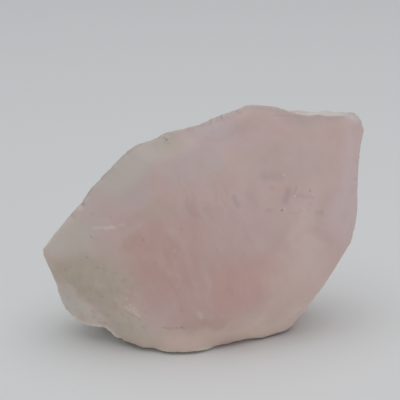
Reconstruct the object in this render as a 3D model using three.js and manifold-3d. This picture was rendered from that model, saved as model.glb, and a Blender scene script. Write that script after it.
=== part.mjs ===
// A lump of rough morganite: cloudy pink beryl, broken out in one piece.
// Millimetres. +X runs along the longest way, +Y away from the broad front face, +Z up.
// The lump stands on a small flat, and the origin is on that flat, under the middle of the lump.

import * as THREE from 'three';
import { ConvexGeometry } from 'three/addons/geometries/ConvexGeometry.js';
import { ImprovedNoise } from 'three/addons/math/ImprovedNoise.js';
import { TessellateModifier } from 'three/addons/modifiers/TessellateModifier.js';
import { mergeVertices } from 'three/addons/utils/BufferGeometryUtils.js';
import Module from 'manifold-3d';

// Overall size of the lump: the finished stone is brought to exactly this
const length = 70.2;
const thickness = 33.6;
const height = 53.5;

// The widest facet of the mesh, and how many halvings bring the longest one down to it
const facet = 3.2;
const splits = 24;

// The middle of the stone, which the surface swells away from
const heart = new THREE.Vector3(0, 0, 23);

// The broad front face is one gently domed break: the stretched ball that fits it
const frontDome = { middle: [-6, 28.5, 20], radii: [55, 45, 58] };

// Corners on the front: how far across and up, and how far they stand ahead of the dome.
// Behind the dome they give its rim a narrow bevel, and ahead of it they let it show.
const frontCorners = {
  upperLeftRim: {
    ahead: -0.8,
    places: [
      [-34.2, 22.3],
      [-29.9, 28],
      [-25.4, 34],
      [-21.7, 38.8],
      [-15.5, 45.1],
      [-13.7, 46.4],
    ],
  },
  saddleRim: {
    ahead: 0.5,
    places: [
      [-8.3, 49.7],
      [-3.1, 50.7],
      [5, 52.3],
    ],
  },
  peakAndTopEdge: {
    ahead: -0.2,
    places: [
      [8.7, 53.6],
      [12.4, 53.6],
      [14.5, 52.9],
      [27.6, 49.7],
      [29.9, 49.4],
    ],
  },
  rightRim: {
    ahead: -0.5,
    places: [
      [32.6, 48],
      [34.1, 47.2],
      [35.6, 46.3],
      [36.6, 45],
      [35.4, 41.4],
      [34.2, 27.4],
      [33.2, 22.1],
      [29.8, 17.3],
      [26.6, 12.1],
    ],
  },
  turnDownOverFoot: {
    ahead: -2,
    places: [
      [24.5, 9.2],
      [13, 9.5],
      [6, 7],
      [-1, 4],
    ],
  },
  creaseOverUnderside: {
    ahead: 0.2,
    places: [
      [-32.2, 20.3],
      [-26, 19.8],
      [-21, 18],
      [-16.5, 11],
      [-11, 3.3],
    ],
  },
  middle: {
    ahead: 1.6,
    places: [
      [-21, 29],
      [-12, 36],
      [-2, 43.5],
      [6, 47.5],
      [14, 48],
      [22, 45],
      [28.5, 42],
      [29, 33],
      [26, 25],
      [19, 20],
      [8, 18],
      [-5, 15],
      [-10, 25],
      [8, 29],
    ],
  },
};

// The other corners, where one flat break meets the next
const corners = {
  leftTip: [
    [-33.5, -8.2, 19.1],
    [-31.9, -7.6, 15],
    [-31.2, -7, 11.1],
    [-29.6, -6.6, 7.3],
    [-27.3, -6.6, 4.5],
    [-33, -3, 19],
  ],
  frontFootEdge: [
    [20.9, -2.9, 2.8],
    [18.6, -1.5, 0.6],
    [12.5, -4.2, 0.6],
    [6.4, -7.6, 0.6],
    [1.2, -10.8, 0.6],
    [-12.1, -9.6, 0.8],
    [-15.6, -9.8, 1.3],
    [-18.1, -9, 2],
  ],
  topLedge: [
    [18.3, 1.5, 50.6],
    [29.5, 7, 48.9],
    [32.8, 8.2, 48.3],
    [34.3, 8.8, 48],
    [35.9, 9.5, 47.1],
  ],
  foot: [
    [17.5, -0.5, -1.5],
    [11, -3.6, -1.5],
    [5, -6.6, -1.5],
    [-3, -15, -1.5],
    [-4.5, -14.6, -1.5],
    [-9.5, -10, -1.5],
    [-17, 5, -1.5],
    [-12, 12.5, -1.5],
    [4, 15.5, -1.5],
    [15, 12.5, -1.5],
    [19.5, 4, -1.5],
  ],
  underside: [
    [-25, -2, 3.6],
    [-21, 7, 4],
    [22, 7, 2.4],
  ],
  back: [
    [-29, 3, 10],
    [-32, 0, 17],
    [-26, 3, 27],
    [-16, 6, 36],
    [-4, 8, 42],
    [8, 9, 45],
    [20, 11, 45],
    [30, 13, 42],
    [34, 13, 38],
    [33.5, 11, 28],
    [30.5, 11, 18],
    [27, 11, 11],
    [-22, 10, 14],
    [-8, 16.5, 14],
    [8, 17, 12],
    [22, 16.5, 17],
  ],
};

// Shell-shaped hollows left by flakes that sprang off: the ball that fits each one
const hollows = {
  saddleLeftOfPeak: { middle: [-6.3, 8, 74.7], radius: 30 },
  dishedTopLedge: { middle: [25.5, 4.7, 77.1], radius: 27.2 },
  dishedRightEdge: { middle: [87, 4, 30.5], radius: 53 },
  liftUnderLeftTip: { middle: [-23.2, -8.5, -3], radius: 7.5 },
  scarBehindRightTop: { middle: [47.4, 38.8, 47], radius: 33.2 },
  scarBehindLeftTip: { middle: [-47, 27, 20], radius: 31 },
  scarAtBackFoot: { middle: [0, 44, -6], radius: 34 },
  broadBackDish: { middle: [10, 62, 44], radius: 50 },
};

// Uneven break of the cloudy mineral: how high its swells are, and how far apart
const swells = [
  { height: 0.35, apart: 13 },
  { height: 0.18, apart: 5.5 },
];
const noise = new ImprovedNoise();
const noiseStart = 7.3;

const wasm = await Module();
wasm.setup();

function toSolid(geometry) {
  return new wasm.Manifold(new wasm.Mesh({
    numProp: 3,
    vertProperties: new Float32Array(geometry.getAttribute('position').array),
    triVerts: new Uint32Array(geometry.getIndex().array),
  }));
}

function toGeometry(solid) {
  const mesh = solid.getMesh();
  const geometry = new THREE.BufferGeometry();
  geometry.setAttribute('position', new THREE.BufferAttribute(mesh.vertProperties, 3));
  geometry.setIndex(new THREE.BufferAttribute(mesh.triVerts, 1));
  return geometry;
}

// Only the places of the vertices are kept, so that neighbouring facets share them
function bare(geometry) {
  geometry.deleteAttribute('normal');
  geometry.deleteAttribute('uv');
  return mergeVertices(geometry);
}

// How far the surface swells or sinks at one point
function swellAt(point) {
  return swells.reduce((total, swell, index) => {
    const at = point.clone().divideScalar(swell.apart).addScalar(noiseStart * (index + 1));
    return total + swell.height * noise.noise(at.x, at.y, at.z);
  }, 0);
}

// The same surface with the uneven break on it
function uneven(geometry) {
  const position = geometry.getAttribute('position');
  for (let index = 0; index < position.count; index += 1) {
    const point = new THREE.Vector3().fromBufferAttribute(position, index);
    const outward = point.clone().sub(heart).normalize();
    point.addScaledVector(outward, swellAt(point));
    position.setXYZ(index, point.x, point.y, point.z);
  }
  return geometry;
}

// A point so far ahead of the dome, at one place across and up
function aheadOfDome([x, z], ahead) {
  const [middleX, middleY, middleZ] = frontDome.middle;
  const [radiusX, radiusY, radiusZ] = frontDome.radii;
  const rest = 1 - ((x - middleX) / radiusX) ** 2 - ((z - middleZ) / radiusZ) ** 2;
  return [x, middleY - radiusY * Math.sqrt(rest) - ahead, z];
}

// The lump as flat breaks between its corners
function flatBreaks() {
  const front = Object.values(frontCorners).flatMap(({ ahead, places }) => {
    return places.map((place) => aheadOfDome(place, ahead));
  });
  const all = [...front, ...Object.values(corners).flat()];
  const points = all.map((corner) => new THREE.Vector3(...corner));
  const hull = new ConvexGeometry(points);
  return toSolid(uneven(bare(new TessellateModifier(facet, splits).modify(hull))));
}

// A ball, or a stretched ball, whose facets are about as wide as those of the lump
function roundBreak(middle, radii) {
  const detail = Math.round(Math.max(...radii) / facet);
  const ball = new THREE.IcosahedronGeometry(1, detail);
  ball.scale(...radii);
  ball.translate(...middle);
  return toSolid(uneven(bare(ball)));
}

// The whole lump, before its foot is cut flat
function roughLump() {
  const domed = flatBreaks().intersect(roundBreak(frontDome.middle, frontDome.radii));
  return Object.values(hollows).reduce((lump, { middle, radius }) => {
    return lump.subtract(roundBreak(middle, [radius, radius, radius]));
  }, domed);
}

// The flat that the lump stands on: everything under Z = 0 is cut off
function cutFlat(lump) {
  const block = new THREE.BoxGeometry(2 * length, 2 * length, height);
  block.translate(0, 0, -height / 2);
  return toGeometry(lump.subtract(toSolid(bare(block))));
}

// Brought to the overall size, standing on Z = 0 with its middle over the origin
function fitToSize(geometry) {
  geometry.computeBoundingBox();
  const box = geometry.boundingBox;
  const size = box.getSize(new THREE.Vector3());
  const middle = box.getCenter(new THREE.Vector3());
  geometry.translate(-middle.x, -middle.y, -box.min.z);
  geometry.scale(length / size.x, thickness / size.y, height / size.z);
  geometry.computeVertexNormals();
  return geometry;
}

const cloudyPinkBeryl = new THREE.MeshStandardMaterial({
  color: 0xd8bdb7,
  roughness: 0.55,
  metalness: 0,
});

const crystal = new THREE.Mesh(fitToSize(cutFlat(roughLump())), cloudyPinkBeryl);
crystal.name = 'morganite_crystal';

const group = new THREE.Group();
group.add(crystal);

export default group;
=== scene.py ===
"""A rough lump of morganite, cloudy pink beryl, standing on a pale studio floor.

Metres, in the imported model's frame: +X along the lump, +Y away from its broad front, +Z up.
"""

import math

import bmesh
import bpy
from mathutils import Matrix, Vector, kdtree, noise
from mathutils.bvhtree import BVHTree


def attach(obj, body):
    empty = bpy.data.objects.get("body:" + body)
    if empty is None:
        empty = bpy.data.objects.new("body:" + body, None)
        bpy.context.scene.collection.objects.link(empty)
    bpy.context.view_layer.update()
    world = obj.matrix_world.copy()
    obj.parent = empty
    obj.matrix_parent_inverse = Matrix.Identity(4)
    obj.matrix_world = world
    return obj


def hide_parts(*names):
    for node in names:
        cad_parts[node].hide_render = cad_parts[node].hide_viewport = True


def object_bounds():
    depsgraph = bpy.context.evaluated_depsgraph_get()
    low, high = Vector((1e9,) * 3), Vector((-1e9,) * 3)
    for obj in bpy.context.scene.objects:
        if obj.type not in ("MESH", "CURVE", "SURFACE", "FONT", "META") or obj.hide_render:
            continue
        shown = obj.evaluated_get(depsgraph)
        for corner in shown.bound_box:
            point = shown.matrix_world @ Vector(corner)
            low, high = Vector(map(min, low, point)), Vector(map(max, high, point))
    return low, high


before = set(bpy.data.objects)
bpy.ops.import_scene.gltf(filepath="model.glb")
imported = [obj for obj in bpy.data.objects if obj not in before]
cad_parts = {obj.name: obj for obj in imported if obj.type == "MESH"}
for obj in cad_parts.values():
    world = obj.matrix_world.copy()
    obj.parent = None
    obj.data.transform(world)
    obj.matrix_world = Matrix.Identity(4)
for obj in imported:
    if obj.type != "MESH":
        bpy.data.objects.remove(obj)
cad_low, cad_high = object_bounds()


# The lump. It is one piece of massive beryl, broken out along a few broad, gently curved breaks.
# They meet in edges that handling has worn a little round. The mesh is a merged copy of the
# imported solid, remeshed finely, with the facets between its worn edges smoothed away.
mm = 0.001
node_name = "morganite_crystal"
sharp_angle = math.radians(38)
worn_reach = 1.2 * mm
mesh_width = 0.37 * mm
broad_passes = 38
worn_passes = 2


def merged_copy(source):
    """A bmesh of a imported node, with its loose triangles joined."""
    form = bmesh.new()
    form.from_mesh(source.data)
    bmesh.ops.remove_doubles(form, verts=form.verts, dist=0.01 * mm)
    return form


def point_tree(points):
    """A tree that finds the nearest of the points."""
    tree = kdtree.KDTree(len(points))
    for index, point in enumerate(points):
        tree.insert(point, index)
    tree.balance()
    return tree


def sharp_edge_points(form, spacing):
    """Points along the edges where two breaks meet."""
    points = []
    for edge in form.edges:
        if edge.calc_face_angle(0) > sharp_angle:
            start, end = (vert.co for vert in edge.verts)
            parts = max(1, math.ceil((end - start).length / spacing))
            points += [start.lerp(end, part / parts) for part in range(parts + 1)]
    return points


def remeshed(form, name):
    """The same form in even quads, as a new object."""
    mesh = bpy.data.meshes.new(name)
    form.to_mesh(mesh)
    form.free()
    rough = bpy.data.objects.new(name, mesh)
    bpy.context.scene.collection.objects.link(rough)
    remesh = rough.modifiers.new("even_quads", "REMESH")
    remesh.mode = "VOXEL"
    remesh.voxel_size = mesh_width
    depsgraph = bpy.context.evaluated_depsgraph_get()
    even = bpy.data.meshes.new_from_object(rough.evaluated_get(depsgraph))
    rough.modifiers.clear()
    rough.data = even
    bpy.data.meshes.remove(mesh)
    even.name = name
    return rough


def smooth(form, verts, passes):
    """Moves each of the vertices towards the middle of its neighbours, several times over."""
    for _ in range(passes):
        bmesh.ops.smooth_vert(form, verts=verts, factor=0.5,
                              use_axis_x=True, use_axis_y=True, use_axis_z=True)


def edge_nearness(form):
    """How near each vertex is to a worn edge: 1 on it, 0 beyond its reach."""
    return [max(0, 1 - worn_edges.find(vert.co)[2] / worn_reach) for vert in form.verts]


packed = merged_copy(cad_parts[node_name])
worn_edges = point_tree(sharp_edge_points(packed, 0.4 * mm))
lump = remeshed(packed, "cloudy_pink_lump")

form = bmesh.new()
form.from_mesh(lump.data)
broad = [vert for vert, near in zip(form.verts, edge_nearness(form)) if near == 0]
smooth(form, broad, broad_passes)
smooth(form, form.verts, worn_passes)


# Marks. Knocks have bruised the stone white, pits hold dark grains, and thin flakes have sprung
# off. A mark is a set of points on the lump with a reach, and how much it sinks or raises the
# surface there in millimetres, or how white, cream, grey, dark, pink or lilac it turns it.
skin = BVHTree.FromBMesh(form)
marks = []


def front_at(x, z):
    """The point on the broad front at x across and z up, in millimetres."""
    return skin.ray_cast(Vector((x, -60, z)) * mm, Vector((0, 1, 0)))[0]


def top_at(x, y):
    """The point on the top at x across and y back, in millimetres."""
    return skin.ray_cast(Vector((x, y, 90)) * mm, Vector((0, 0, -1)))[0]


def line(places, point_at, wander=0.1, spacing=0.12):
    """Points along a line through the places, wandering a little."""
    points = []
    for (start_a, start_b), (end_a, end_b) in zip(places, places[1:]):
        parts = math.ceil(math.hypot(end_a - start_a, end_b - start_b) / spacing)
        for part in range(parts + 1):
            a = start_a + (end_a - start_a) * part / parts
            b = start_b + (end_b - start_b) * part / parts
            there = Vector((a, 5, b)) / 1.1
            a_wander = noise.noise(there) * wander
            b_wander = noise.noise(there + Vector((20, 0, 0))) * wander
            points.append(point_at(a + a_wander, b + b_wander))
    return points


def mark(points, reach, **amounts):
    """Adds a mark. Its reach is in millimetres, and its amounts are shares or millimetres."""
    marks.append((points, reach * mm, amounts))


# Knocks in a row on the left, bruised white: the two ends of each, and how white
knocks = (
    ((-23.9, 29.2), (-22.1, 29.5), 0.5),
    ((-21.4, 29.4), (-19.4, 29.6), 0.65),
    ((-19.0, 29.9), (-17.2, 30.5), 0.35),
    ((-22.4, 31.0), (-20.2, 31.3), 0.2),
    ((6.1, 32.3), (7.2, 31.5), 0.2),
)
for start, end, white in knocks:
    mark(line((start, end), front_at, wander=0.25), 0.8, sunk=0.06, white=white)

# Dark grains in pits, four of them close together near the top: across, up, reach and darkness
grains = (
    (-8.7, 48.2, 0.35, 0.8), (-8.2, 47.9, 0.4, 1.0), (-8.6, 47.4, 0.3, 0.8), (-7.9, 47.2, 0.3, 0.8),
    (-24.4, 27.1, 0.45, 0.45), (-25.4, 22.4, 0.45, 0.55), (-23.0, 20.4, 0.45, 0.55),
    (-30.1, 18.8, 0.55, 0.45), (-29.6, 15.3, 0.6, 0.35), (-24.1, 32.1, 0.5, 0.3),
    (-20.1, 31.7, 0.5, 0.3), (-18.1, 17.9, 0.7, 0.25), (-17.2, 16.1, 0.7, 0.25),
    (-4.6, 6.5, 0.4, 0.5), (-5.2, 10.8, 0.4, 0.4), (22.4, 35.3, 0.45, 0.7),
    (16.3, 32.2, 0.45, 0.8), (13.9, 37.0, 0.9, 0.15), (22.5, 32.6, 0.9, 0.25),
    (20.4, 31.4, 0.6, 0.25), (-5.2, 29.7, 0.4, 0.5), (-13.3, 27.2, 0.5, 0.4),
)
for x, z, reach, darkness in grains:
    mark([front_at(x, z)], reach, sunk=0.05, dark=darkness)

# Small milky blebs and chips: across, up, reach and whiteness
blebs = (
    (-13.9, 30.2, 1.0, 0.2), (-12.4, 27.0, 1.0, 0.2), (-8.2, 26.1, 1.1, 0.25),
    (-6.5, 25.0, 1.1, 0.28), (-13.3, 23.2, 1.0, 0.2), (-7.8, 19.9, 1.1, 0.3),
    (-6.1, 16.7, 1.1, 0.27), (-2.6, 17.6, 1.0, 0.2), (3.1, 24.8, 1.0, 0.2),
    (-16.9, 13.5, 0.8, 0.4), (16.7, 39.5, 0.6, 0.6), (19.0, 34.8, 0.5, 0.8),
    (16.9, 32.3, 0.5, 0.5), (16.0, 32.6, 0.5, 0.3), (22.3, 34.0, 0.6, 0.3),
    (22.8, 35.2, 0.4, 0.4), (20.6, 32.0, 0.5, 0.4), (24.2, 31.0, 0.7, 0.3), (5.1, 12.6, 0.7, 0.3),
)
for x, z, reach, white in blebs:
    mark([front_at(x, z)], reach, raised=0.04, white=white)
mark(line(((-1.3, 10.4), (-0.9, 9.1)), front_at), 1.0, raised=0.08, cream=0.4)

# Shallow bruises on the right of the front, lilac in their hollows: the ends and reach of each,
# and how lilac
bruises = (
    ((12.4, 39.7), (16.2, 38.9), 1.9, 0.5), ((17.3, 35.9), (17.4, 34.2), 1.6, 0.7),
    ((19.0, 36.4), (19.0, 35.2), 1.0, 0.5), ((19.9, 34.9), (22.9, 33.7), 0.8, 0.5),
    ((24.1, 30.4), (25.4, 29.5), 1.0, 0.5), ((5.9, 35.6), (6.5, 34.2), 1.1, 0.6),
    ((9.2, 36.3), (10.8, 34.0), 2.2, 0.35), ((12.9, 32.5), (13.9, 32.3), 1.1, 0.35),
    ((8.6, 27.8), (9.2, 26.5), 1.1, 0.3),
)
for start, end, reach, lilac in bruises:
    mark(line((start, end), front_at, wander=0.5), reach, sunk=0.07 * reach, lilac=lilac)
mark(line(((17.9, 31.4), (19.9, 31.1)), front_at), 0.5, pink=0.4)

# Fine cracks: one near the foot in short dark lengths, one along the lip at the lower right with a
# white edge, and a pink one on the left tip
foot_cracks = (
    ((-9.2, 6.6), (-7.4, 6.6), 0.28), ((-6.6, 6.5), (-6.2, 6.5), 0.3),
    ((-5.2, 6.6), (-5.0, 6.6), 0.5), ((-13.9, 6.7), (-13.0, 6.6), 0.28),
    ((-13.4, 6.2), (-12.6, 5.0), 0.15),
)
for start, end, darkness in foot_cracks:
    mark(line((start, end), front_at, wander=0.3), 0.5, sunk=0.1, dark=darkness)
mark(line(((21.4, 10.4), (23.4, 10.1)), front_at), 0.4, raised=0.1, white=0.6)
mark(line(((21.6, 9.9), (23.7, 9.6)), front_at), 0.35, sunk=0.12, dark=0.25)
mark(line(((-32.7, 17.2), (-30.8, 18.7), (-28.7, 20.3)), front_at), 0.5, raised=0.08, pink=0.45)

# A small pale flake scar low on the left, with a sharp lower lip
scar = [front_at(x, z) for x, z in ((-16.9, 11.4), (-16.1, 11.9), (-16.2, 11.0), (-15.4, 11.3),
                                    (-15.5, 10.5), (-14.8, 10.6), (-14.8, 9.9), (-14.3, 9.6))]
mark(scar, 1.0, sunk=0.12, cream=0.5)
mark(line(((-17.4, 10.6), (-15.8, 9.5), (-14.3, 8.7)), front_at), 0.4, sunk=0.15, dark=0.25)

# Nicks out of the upper left margin and the right edge: across, up, reach and depth
nicks = ((-26.3, 33.5, 1.3, 0.6), (-28.4, 30.6, 1.1, 0.3), (33.8, 40.3, 0.9, 0.35),
         (33.3, 37.8, 0.9, 0.3), (32.8, 35.0, 0.9, 0.3))
for x, z, reach, depth in nicks:
    mark([front_at(x, z)], reach, sunk=depth)

# The grey corner at the top right, and the grey edge of a thin layer left of the ledge. The line
# sunk under the ledge's front edge is darkened as painted shadow.
mark(line(((30.5, 5.3), (32.5, 6.2), (33.6, 7.0)), top_at), 1.9, grey=1.0)
mark(line(((14.5, -2.2), (17.0, -1.6), (19.5, -1.0)), top_at), 0.5, raised=0.1, white=0.3)
mark(line(((14.5, 51.2), (17.0, 50.9), (20.0, 50.0)), front_at), 0.5, sunk=0.08, dark=0.12)

# Where the break stands out a little, or falls in: a line across and up, its reach, and how far.
# The last hollow is in the top, so its line is across and back.
swellings = (
    (((2.0, 50.6), (5.5, 51.8), (9.0, 52.0)), 4.0, 0.5), (((-28.3, 8.0), (-25.5, 5.6)), 4.5, 0.5),
    (((23.5, 13.0), (30.0, 21.5)), 4.0, 0.25), (((-7.5, 1.2), (-2.0, 0.9)), 4.5, 1.1),
    (((-18.5, 2.8), (-13.5, 1.8)), 4.0, 0.6), (((12.5, 1.2), (16.5, 1.5)), 5.0, 1.0),
    (((32.4, 46.4), (33.4, 46.4)), 2.4, 0.35),
)
hollows = (
    (((-10.5, 47.0), (-4.0, 49.2)), 4.5, 0.6), (((1.0, 1.0), (4.0, 1.0)), 4.5, 0.4),
)
for places, reach, amount in swellings:
    mark(line(places, front_at, spacing=0.5), reach, raised=amount)
for places, reach, amount in hollows:
    mark(line(places, front_at, spacing=0.5), reach, sunk=amount)
mark(line(((28.8, 5.5), (30.6, 6.3)), top_at, spacing=0.5), 3.5, sunk=0.35)

# Thin flakes stepping down beside the top ledge: the ends of each, and how deep it steps
flakes = (
    ((14.6, -1.4), (18.2, -2.6), 0.22), ((15.8, 0.2), (19.4, -0.9), 0.18),
    ((17.4, 1.2), (20.6, 0.4), 0.16),
)
for start, end, depth in flakes:
    mark(line((start, end), top_at), 0.8, sunk=depth, dark=0.12)


# The break. Massive beryl breaks unevenly: broad low swells, a fine waxy grain, a sandy patch at
# the foot of the left tip, and small steps and ridges, most of them on the back. The mesh is split
# finer under the small marks, then every vertex is moved along its normal.
def split_under_marks(form, reach, small=1.5 * mm):
    """Halves the mesh's edges near the small marks, which need it finer."""
    small_marks = [points for points, mark_reach, _ in marks if mark_reach < small]
    marked = point_tree([point for points in small_marks for point in points])
    near = [edge for edge in form.edges if marked.find(edge.verts[0].co)[2] < reach]
    bmesh.ops.subdivide_edges(form, edges=near, cuts=1, use_grid_fill=True)


def eased(share):
    """The same share from 0 to 1, starting and ending gently."""
    return share * share * (3 - 2 * share)


def rises(value, low, high):
    """0 up to the low value, 1 from the high one on, and eased between."""
    return eased(min(1, max(0, (value - low) / (high - low))))


def layers_from_marks(form):
    """The strongest mark of each kind at each vertex."""
    kinds = ("sunk", "raised", "white", "cream", "grey", "dark", "pink", "lilac")
    layers = {kind: [0.0] * len(form.verts) for kind in kinds}
    surface = point_tree([vert.co for vert in form.verts])
    for points, reach, amounts in marks:
        for point in points:
            for _, index, distance in surface.find_range(point, reach):
                share = eased(1 - distance / reach)
                for kind, amount in amounts.items():
                    layers[kind][index] = max(layers[kind][index], amount * share)
    return layers


def swells(place):
    """The broad, low unevenness all over, in millimetres, as for each way of breaking below."""
    return 0.20 * noise.noise(place / 8.5) + 0.09 * noise.noise(place / 3.6)


def patch(place, middle, reach):
    """1 in the middle of a round patch, and 0 beyond its reach."""
    return eased(max(0, 1 - (place - Vector(middle)).length / reach))


def grain(place):
    """The fine grain all over, coarser on the sandy patch and among the bruises."""
    sandy = patch(place, (-22, -11, 10), 12)
    bruised = patch(place, (15, -5, 35), 12)
    fine = 0.02 + 0.03 * sandy
    coarse = 0.12 * sandy + 0.10 * bruised
    return fine * noise.noise(place / 0.8) + coarse * noise.noise(place / 1.9)


def low_steps(place):
    """A break that falls from one level to the next, with short slopes between."""
    level = 1.7 * noise.noise(place / 8 + Vector((4, 9, 2))) + 0.15 * noise.noise(place / 2.5)
    whole = math.floor(level)
    return 0.25 * (whole + rises(level - whole, 0.2, 0.8))


def ridges(place):
    """Small broken faces that meet in low ridges."""
    broad_fold = abs(noise.noise(place / 6 + Vector((3, 1, 8))))
    small_fold = abs(noise.noise(place / 2.2))
    return 0.15 - 0.8 * broad_fold - 0.22 * small_fold


def low_left(place):
    """1 at the lower left, where the front turns under, and 0 beyond."""
    return rises(-place.z, -9, -4) * rises(-place.x, -6, 2)


def nibbles(place):
    """The small bites out of an edge, deeper along the lower left one."""
    depth = 0.35 + 0.55 * low_left(place)
    return -depth * max(0, noise.noise(place / 1.1))


def painted_shade_on_top_rim(place, normal, behind):
    """1 where the front has just turned over at the top, and 0 where it still stands upright. The
    grey painted there is painted shade, which darkens the top where it turns up to the light.

    Behind is how many millimetres the place is from the front.
    """
    ragged = 3 * noise.noise(place / 4)
    upward = rises(normal.z, 0.32, 0.72) * rises(place.z, 24, 34)
    return upward * rises(ragged - behind, -6.5, -0.5)


def on_ledge(place, normal, behind):
    """1 on the narrow ledge along the top right, where the bare break faces up. Its pale colour is
    partly the bare break and partly painted highlight where it faces the overhead light.
    """
    ragged = 5 * noise.noise(place / 4) + 2 * noise.noise(place / 1.3)
    upward = rises(normal.z, 0.7, 0.82) * rises(place.z, 42, 45)
    along = rises(place.x + ragged, 13.5, 19.5) * rises(-place.x, -32, -30)
    return along * upward * rises(ragged - behind, -7.5, -1.5)


def lip_tree(form):
    """The points along the lip at the lower left, where the front turns under, as a tree."""
    seen_from = Vector((0, -0.94, 0.34))
    return point_tree([vert.co for vert in form.verts if low_left(vert.co / mm) > 0
                       and vert.normal.z < 0 and abs(vert.normal.dot(seen_from)) < 0.15])


split_under_marks(form, 0.7 * mm)
form.normal_update()
layers = layers_from_marks(form)
layers["worn"] = edge_nearness(form)
layers["ledge"] = []
layers["rim"] = []
front = point_tree([vert.co for vert in form.verts if vert.normal.y < -0.6])
lip = lip_tree(form)
lip_reach = 2.0 * mm
for index, vert in enumerate(form.verts):
    place = vert.co / mm
    behind = front.find(vert.co)[2] / mm
    layers["ledge"].append(on_ledge(place, vert.normal, behind))
    layers["rim"].append(painted_shade_on_top_rim(place, vert.normal, behind))
    # Along the lip at the lower left the cream is painted glow: light coming through the thin edge,
    # which also lifts the shade of the underside.
    on_lip = min(1, 1.5 * max(0, 1 - lip.find(vert.co)[2] / lip_reach))
    layers["worn"][index] = max(layers["worn"][index], on_lip)
    layers["cream"][index] = max(layers["cream"][index], on_lip * low_left(place))

# The smoothing took about a quarter of a millimetre off, which is put back. The front of the foot
# is worn under, so that the lip over it stands clear of the floor. What lies within sole_height
# of the floor isn't pushed down, so that the flat foot stays flat.
taken_off = 0.25
sole_height = 0.8
foot_height = 2.0
foot_lift = 0.55
foot_edge_reach = 2.2 * mm
foot_edge = point_tree([vert.co for vert in form.verts if 0.2 * mm < vert.co.z < 0.6 * mm])


def lift_at(vert, place):
    """How far the front of the foot is lifted at a vertex, in millimetres."""
    on_foot = max(0, 1 - place.z / foot_height)
    if on_foot == 0:
        return 0
    at_edge = eased(max(0, 1 - foot_edge.find(vert.co)[2] / foot_edge_reach)) if place.z < 1 else 1
    uneven = 0.8 + 0.5 * noise.noise(place / 2.5)
    return foot_lift * uneven * on_foot * at_edge * rises(-place.y, -2, 2)


for vert, worn, sunk, raised in zip(form.verts, layers["worn"], layers["sunk"], layers["raised"]):
    place = vert.co / mm
    off_front = rises(vert.normal.y, -0.7, 0.3)
    on_back = rises(vert.normal.y, -0.05, 0.5)
    rise = swells(place) + grain(place) + off_front * low_steps(place) + on_back * ridges(place)
    rise += worn * nibbles(place)
    moved = place + vert.normal * (taken_off + rise - sunk + raised)
    lowest = place.z if place.z < sole_height else 0
    moved.z = max(lowest, moved.z, 0) + lift_at(vert, place)
    vert.co = moved * mm

form.to_mesh(lump.data)
form.free()
lump.data.polygons.foreach_set("use_smooth", [True] * len(lump.data.polygons))
for kind in ("white", "cream", "grey", "dark", "pink", "lilac", "worn", "ledge", "rim"):
    lump.data.attributes.new(kind, "FLOAT", "POINT").data.foreach_set("value", layers[kind])


# Cloudy beryl with a broken, unpolished surface. Light goes a millimetre or two into it and comes
# back softened, so it looks waxy and milky, with a dull sheen and no sharp highlight. Its pink
# comes from a little manganese, and lies in clouds that run through the lump from front to back.
def add_node(tree, kind, inputs, **settings):
    """Adds a node with its settings. An input is linked if it is another node's output."""
    node = tree.nodes.new("ShaderNode" + kind)
    for name, value in settings.items():
        setattr(node, name, value)
    for key, value in inputs.items():
        if isinstance(value, bpy.types.NodeSocket):
            tree.links.new(value, node.inputs[key])
        else:
            node.inputs[key].default_value = value
    return node


def linear(hex_colour):
    """An sRGB hex colour as linear red, green, blue and alpha."""
    channels = [int(hex_colour[start:start + 2], 16) / 255 for start in (0, 2, 4)]
    return [c / 12.92 if c <= 0.04045 else ((c + 0.055) / 1.055) ** 2.4 for c in channels] + [1]


def blend(tree, share, under, over):
    """The over colour on the under colour. Sockets 0, 6 and 7 of a colour mix are its inputs."""
    return add_node(tree, "Mix", {0: share, 6: under, 7: over}, data_type="RGBA").outputs[2]


def ramp(tree, value, low, high, low_share=0.0, high_share=1.0):
    """Rises smoothly from one share to the other as the value goes from low to high."""
    return add_node(tree, "MapRange", {
        "Value": value, "From Min": low, "From Max": high,
        "To Min": low_share, "To Max": high_share,
    }, interpolation_type="SMOOTHSTEP").outputs["Result"]


def product(tree, first, second):
    """One share of another."""
    return add_node(tree, "Math", {0: first, 1: second}, operation="MULTIPLY").outputs[0]


def noise_node(tree, where, spacing, detail):
    """Soft noise that rises and falls about every so many millimetres."""
    return add_node(tree, "TexNoise", {
        "Vector": where, "Scale": 1 / (spacing * mm), "Detail": detail,
    })


def nearness(tree, where, middle, reach, lean=0, label=""):
    """1 in the middle of a stretched ball and 0 beyond its reach, both in millimetres."""
    inside = add_node(tree, "Mapping", {
        "Vector": where, "Location": Vector(middle) * mm,
        "Rotation": (0, math.radians(lean), 0), "Scale": Vector(reach) * mm,
    }, vector_type="TEXTURE", label=label)
    return add_node(tree, "TexGradient", {"Vector": inside.outputs[0]},
                    gradient_type="SPHERICAL").outputs["Fac"]


beryl = bpy.data.materials.new("frosted_pink_beryl")
beryl.use_nodes = True
tree = beryl.node_tree
shader = tree.nodes["Principled BSDF"]

place = add_node(tree, "TexCoord", {}).outputs["Object"]
drift = add_node(tree, "VectorMath", {
    0: noise_node(tree, place, 8, 5).outputs["Color"], 1: (0.5, 0.5, 0.5),
}, operation="SUBTRACT").outputs[0]


def drifted(tree, distance):
    """The place, drifted this way and that over so many millimetres."""
    return add_node(tree, "VectorMath", {
        0: drift, 1: (distance * mm, distance * mm, distance * mm), 2: place,
    }, operation="MULTIPLY_ADD").outputs[0]


# The stone between the clouds, mottled over about 10 mm
mottle = noise_node(tree, place, 10, 3).outputs["Fac"]
colour = blend(tree, ramp(tree, mottle, 0.35, 0.65), linear("d8bcb6"), linear("dcc3bd"))

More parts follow.
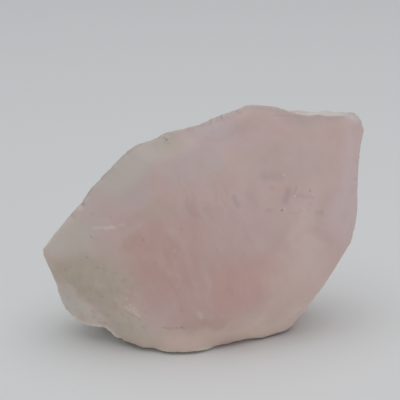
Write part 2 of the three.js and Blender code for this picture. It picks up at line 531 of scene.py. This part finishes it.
# The clouds, each over the ones before it: name, middle and reach in millimetres, lean in degrees,
# colour and strength. Most reach far in y, so that they show on the back too.
clouds = (
    # The pale lower right is partly paler stone and partly painted bounce light, lifting the shade
    # where the face turns down.
    ("pale lower right with painted bounce light", (20, -10, 11), (16, 40, 15), 0, "e2c8c0", 0.9),
    ("pink right margin", (32, -10, 32), (6, 40, 20), 0, "dec6c5", 1.0),
    ("pale stripe", (22, -10, 24), (5, 40, 14), -5, "e2cac4", 0.9),
    ("warm tan", (17, -10, 43), (13, 40, 6), 8, "d4bdb7", 0.9),
    ("pink peak", (7, -10, 48), (9, 40, 5), 0, "d8bfbe", 0.9),
    ("mauve veil", (-3, -10, 43), (11, 40, 6), -10, "d5c3c0", 0.9),
    ("grey margin", (-18, -10, 42), (19, 40, 7), -38, "d3c7bf", 1.0),
    ("grey tip", (-29, -10, 27), (12, 40, 9), -45, "d8ccc2", 0.9),
    ("lilac left", (-15, -10, 37.5), (6, 40, 3.5), -20, "d3bfbd", 0.8),
    ("rose left", (-22, -10, 33), (6, 40, 4), -45, "d6c2bd", 0.6),
    ("yellow margin", (-7, -10, 48), (8, 40, 4), -20, "cdc3b4", 0.5),
    ("lilac rim", (0, -10, 50.5), (9, 40, 4.5), -15, "dbc9cb", 0.7),
    ("beige flank", (-20, -10, 14), (9, 40, 15), 10, "d3c0b3", 1.0),
    ("olive hollow", (-26.5, -10, 17), (13, 40, 8), 20, "cbbcab", 1.0),
    # The pale corner and grey left margin are partly paler, greyer stone and partly painted bounce
    # light on the facet that turns down to the floor.
    ("pale corner with painted bounce light", (-28, -10, 7.4), (9.5, 40, 5.2), 40, "e1d5ca", 0.9),
    ("grey left margin with painted bounce light", (-31.3, -10, 9.5), (4.2, 40, 6.5), -20, "d4cdc4", 0.6),
    ("blush", (-3, -10, 21), (17, 40, 19), -15, "d7b7b1", 1.0),
    ("salmon left", (-11, -10, 21), (9, 40, 12), -15, "d4b0a8", 0.9),
    ("tan spot", (-14.5, -10, 27.5), (4, 40, 3.5), 0, "cfae9f", 0.45),
    ("salmon right", (8, -10, 16), (11, 40, 11), -15, "d9b2ab", 0.8),
    ("upper rose", (-2, -10, 34.5), (7, 40, 4), 15, "d2b4b0", 0.8),
    ("upper tan", (-11, -10, 34), (7, 40, 3), -10, "d2bab0", 0.8),
    ("low tan", (-2, -10, 9), (5, 40, 4), 0, "d3b4a8", 0.8),
    ("low brown", (2.5, -10, 8), (5, 40, 3), 0, "cfa699", 0.4),
    ("lilac", (8, -10, 31), (6, 40, 7), 15, "d8bcba", 0.7),
    # The beige foot is partly beige stone and partly painted bounce light, lifting the shade at the
    # base.
    ("beige foot with painted bounce light", (2, -10, 2), (28, 40, 5), 0, "e2cabd", 0.9),
    ("low beige", (-16, -10, 5), (9, 40, 6), 25, "d6c9ba", 0.9),
    # The pale right foot is partly pale stone and partly painted bounce light, lifting the shade
    # where the foot turns down.
    ("pale right foot with painted bounce light", (17, -10, 3), (14, 40, 6), -25, "ecd6ca", 0.9),
    ("pink lower margin", (26, -10, 10), (9, 40, 3), -50, "e2cbc8", 0.8),
    # The saddle's grey is painted shade on the top that turns up to the light.
    ("painted shade on the top saddle", (0, 4, 51), (17, 11, 8), -15, "c2b4af", 1.0),
)
cloud_place = drifted(tree, 12)
for name, middle, reach, lean, cloud_colour, strength in clouds:
    inside = nearness(tree, cloud_place, middle, reach, lean, name)
    colour = blend(tree, ramp(tree, inside, 0.0, 0.65, 0.0, strength),
                   colour, linear(cloud_colour))

# Milky wisps about 2 mm wide and 6 mm long, leaning by 20 degrees, through the middle, and the
# clearer and redder stone between them
leaned = add_node(tree, "Mapping", {
    "Vector": drifted(tree, 4), "Rotation": (0, math.radians(-20), 0),
    "Scale": (1.8 * mm, 6 * mm, 6 * mm),
}, vector_type="TEXTURE").outputs[0]
streaks = add_node(tree, "TexNoise", {"Vector": leaned, "Scale": 1, "Detail": 3}).outputs["Fac"]
in_middle = nearness(tree, place, (-1, -10, 24), (17, 40, 24))
for low, high, strength, wisp_colour in ((0.5, 0.75, 0.32, "e0cac3"), (0.48, 0.25, 0.3, "cfa39b")):
    wisp = product(tree, ramp(tree, streaks, low, high),
                   ramp(tree, in_middle, 0.0, 0.5, 0.0, strength))
    colour = blend(tree, wisp, colour, linear(wisp_colour))

# Faint flecks of warmer and cooler stone all over, about 3.5 mm apart
flecks = noise_node(tree, place, 3.5, 3).outputs["Fac"]
for low, high, fleck_colour in ((0.5, 0.75, "cfa79d"), (0.5, 0.25, "ddcbc8")):
    colour = blend(tree, ramp(tree, flecks, low, high, 0.0, 0.15), colour, linear(fleck_colour))

# Sandy specks on the rough patch at the lower left. Real ones are under half a millimetre, and
# are drawn about 2 mm apart so that they show.
specks = noise_node(tree, place, 2, 2).outputs["Fac"]
in_patch = nearness(tree, place, (-22, -10, 12), (13, 40, 12))
for low, high, sand_colour in ((0.52, 0.7, "b5a08f"), (0.46, 0.3, "e2d4ca")):
    sand = product(tree, ramp(tree, specks, low, high), ramp(tree, in_patch, 0.0, 0.4, 0.0, 0.22))
    colour = blend(tree, sand, colour, linear(sand_colour))

# Worn edges, the rim, the ledge and the marks: the amounts of each between which its colour comes
# in, how strongly, and the colour
for kind, low, high, strength, mark_colour in (
    ("worn", 0.3, 1.0, 0.08, "e0d6d1"),
    # The rim's grey is painted shade on the top that turns up to the light.
    ("rim", 0.0, 1.0, 0.65, "b8aaa6"),
    # The ledge's pale colour is partly bare break and partly painted highlight.
    ("ledge", 0.2, 0.8, 0.9, "dad2cc"),
    ("grey", 0.0, 1.0, 0.9, "d0c9c7"),
    # The cream is the stone's own on its marks, and painted glow along the lip at the lower left.
    ("cream", 0.0, 1.0, 0.85, "efe7da"),
    ("white", 0.0, 1.0, 0.8, "ece3e0"),
    # Dark is grains in pits and cracks, and under the ledge's front edge a painted shadow line.
    ("dark", 0.0, 1.0, 0.8, "84726b"),
    ("pink", 0.0, 1.0, 0.6, "cf9f97"),
    ("lilac", 0.0, 1.0, 0.7, "bfa8aa"),
):
    amount = add_node(tree, "Attribute", {}, attribute_name=kind).outputs["Fac"]
    colour = blend(tree, ramp(tree, amount, low, high, 0.0, strength), colour, linear(mark_colour))
tree.links.new(colour, shader.inputs["Base Color"])

# The break is matt where it is grainy and waxier between, over about 2 mm. Its frosting of tiny
# crystals is drawn 0.5 mm apart so that it shows.
frosting = noise_node(tree, place, 2, 4).outputs["Fac"]
tree.links.new(ramp(tree, frosting, 0.3, 0.7, 0.48, 0.62), shader.inputs["Roughness"])
bump = add_node(tree, "Bump", {
    "Height": noise_node(tree, place, 0.5, 2).outputs["Fac"], "Strength": 0.25,
    "Distance": 0.04 * mm,
})
tree.links.new(bump.outputs["Normal"], shader.inputs["Normal"])
shader.inputs["IOR"].default_value = 1.58
shader.inputs["Subsurface Weight"].default_value = 0.6
shader.inputs["Subsurface Radius"].default_value = (1.0, 0.85, 0.8)
shader.inputs["Subsurface Scale"].default_value = 1.5 * mm
lump.data.materials.clear()
lump.data.materials.append(beryl)

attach(lump, "root")
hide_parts(node_name)


# The floor: a sheet of matt white paper that reaches 3 m each way
floor_mesh = bpy.data.meshes.new("studio_floor")
sheet = bmesh.new()
bmesh.ops.create_grid(sheet, x_segments=1, y_segments=1, size=3.0)
sheet.to_mesh(floor_mesh)
sheet.free()
floor = bpy.data.objects.new("studio_floor", floor_mesh)
bpy.context.scene.collection.objects.link(floor)
paper = bpy.data.materials.new("matt_white_paper")
paper.use_nodes = True
paper_shader = paper.node_tree.nodes["Principled BSDF"]
paper_shader.inputs["Base Color"].default_value = (0.8, 0.8, 0.8, 1)
paper_shader.inputs["Roughness"].default_value = 0.9
floor.data.materials.append(paper)

# The light: an even, slightly cool room, one large softbox overhead, and a white card low on the
# right that opens the shadow there
world = bpy.data.worlds.new("soft_room_light")
world.use_nodes = True
background = world.node_tree.nodes["Background"]
background.inputs["Color"].default_value = (0.93, 0.97, 1.0, 1)
background.inputs["Strength"].default_value = 0.44
bpy.context.scene.world = world


def turned_to(direction):
    """The turn that makes a lamp or a camera look in a direction."""
    return direction.to_track_quat("-Z", "Y").to_euler()


def soft_light(name, at, width, watts):
    """A round soft lamp that faces the lump."""
    data = bpy.data.lights.new(name, "AREA")
    data.shape = "DISK"
    data.size = width
    data.energy = watts
    lamp = bpy.data.objects.new(name, data)
    lamp.location = at
    lamp.rotation_euler = turned_to(Vector((0, 0, 0.02)) - Vector(at))
    bpy.context.scene.collection.objects.link(lamp)


soft_light("overhead_softbox", (0.02, -0.07, 0.6), 0.75, 1.45)
soft_light("low_white_card", (0.5, -0.5, 0.07), 0.5, 0.25)

# The camera: facing the broad front, looking down on it by 20 degrees, a little above the middle
# of the lump's box and with 88 mm across the view there
elevation = math.radians(20)
distance = 400 * mm
view_width = 88 * mm
aim = (cad_low + cad_high) / 2 + Vector((-1.15, -0.26, 3.7)) * mm
towards_camera = Vector((0, -math.cos(elevation), math.sin(elevation)))
camera_data = bpy.data.cameras.new("camera")
camera_data.sensor_width = 36
camera_data.lens = camera_data.sensor_width * distance / view_width
camera_data.clip_start = 0.01
camera = bpy.data.objects.new("camera", camera_data)
camera.location = aim + towards_camera * distance
camera.rotation_euler = turned_to(-towards_camera)
bpy.context.scene.collection.objects.link(camera)
bpy.context.scene.camera = camera
bpy.context.scene.view_settings.view_transform = "Standard"
